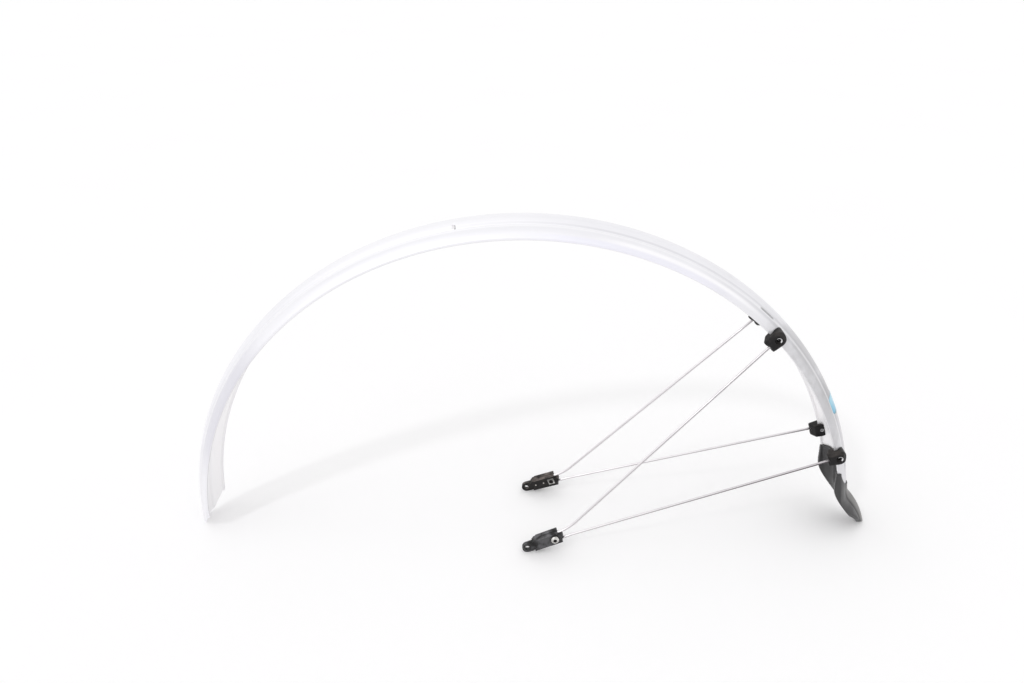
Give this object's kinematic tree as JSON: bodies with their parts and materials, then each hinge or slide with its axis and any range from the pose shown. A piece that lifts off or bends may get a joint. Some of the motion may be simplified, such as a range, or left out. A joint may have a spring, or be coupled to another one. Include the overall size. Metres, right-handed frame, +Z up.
{
  "type": "bicycle mudguard",
  "caption": "Rear bicycle mudguard: arched silver channel blade with a flared black mud flap, wire stays in plastic clips, and clamped stay ends with screw eyelets.",
  "frame": {"origin": "on the ground, under the middle of the whole part", "axes": "+X towards the mud flap, +Z up, -Y the bicycle's left-hand side; the wheel axis runs along Y"},
  "size_m": [0.7702, 0.1178, 0.372],
  "materials": {
    "silver_blade": "satin silver",
    "stay_steel": "drawn wire",
    "black_plastic": "moulded",
    "flap_rubber": "moulded, matt",
    "rivet_metal": "bright",
    "clamp_steel": "plated",
    "blue_film": "plain film"
  },
  "bodies": {
    "root": {"blade": "silver_blade", "blue_sticker": "blue_film", "mud_flap": "flap_rubber", "left_upper_stay": "stay_steel", "left_upper_stay_clip": "black_plastic", "left_upper_clip_rivet": "rivet_metal", "left_lower_stay": "stay_steel", "left_lower_stay_clip": "black_plastic", "left_lower_clip_rivet": "rivet_metal", "left_stay_end": "black_plastic", "left_clamp_screw": "clamp_steel", "left_clamp_nut": "clamp_steel", "right_upper_stay": "stay_steel", "right_upper_stay_clip": "black_plastic", "right_upper_clip_rivet": "rivet_metal", "right_lower_stay": "stay_steel", "right_lower_stay_clip": "black_plastic", "right_lower_clip_rivet": "rivet_metal", "right_stay_end": "black_plastic", "right_clamp_screw": "clamp_steel", "right_clamp_nut": "clamp_steel"}
  },
  "joints": []
}
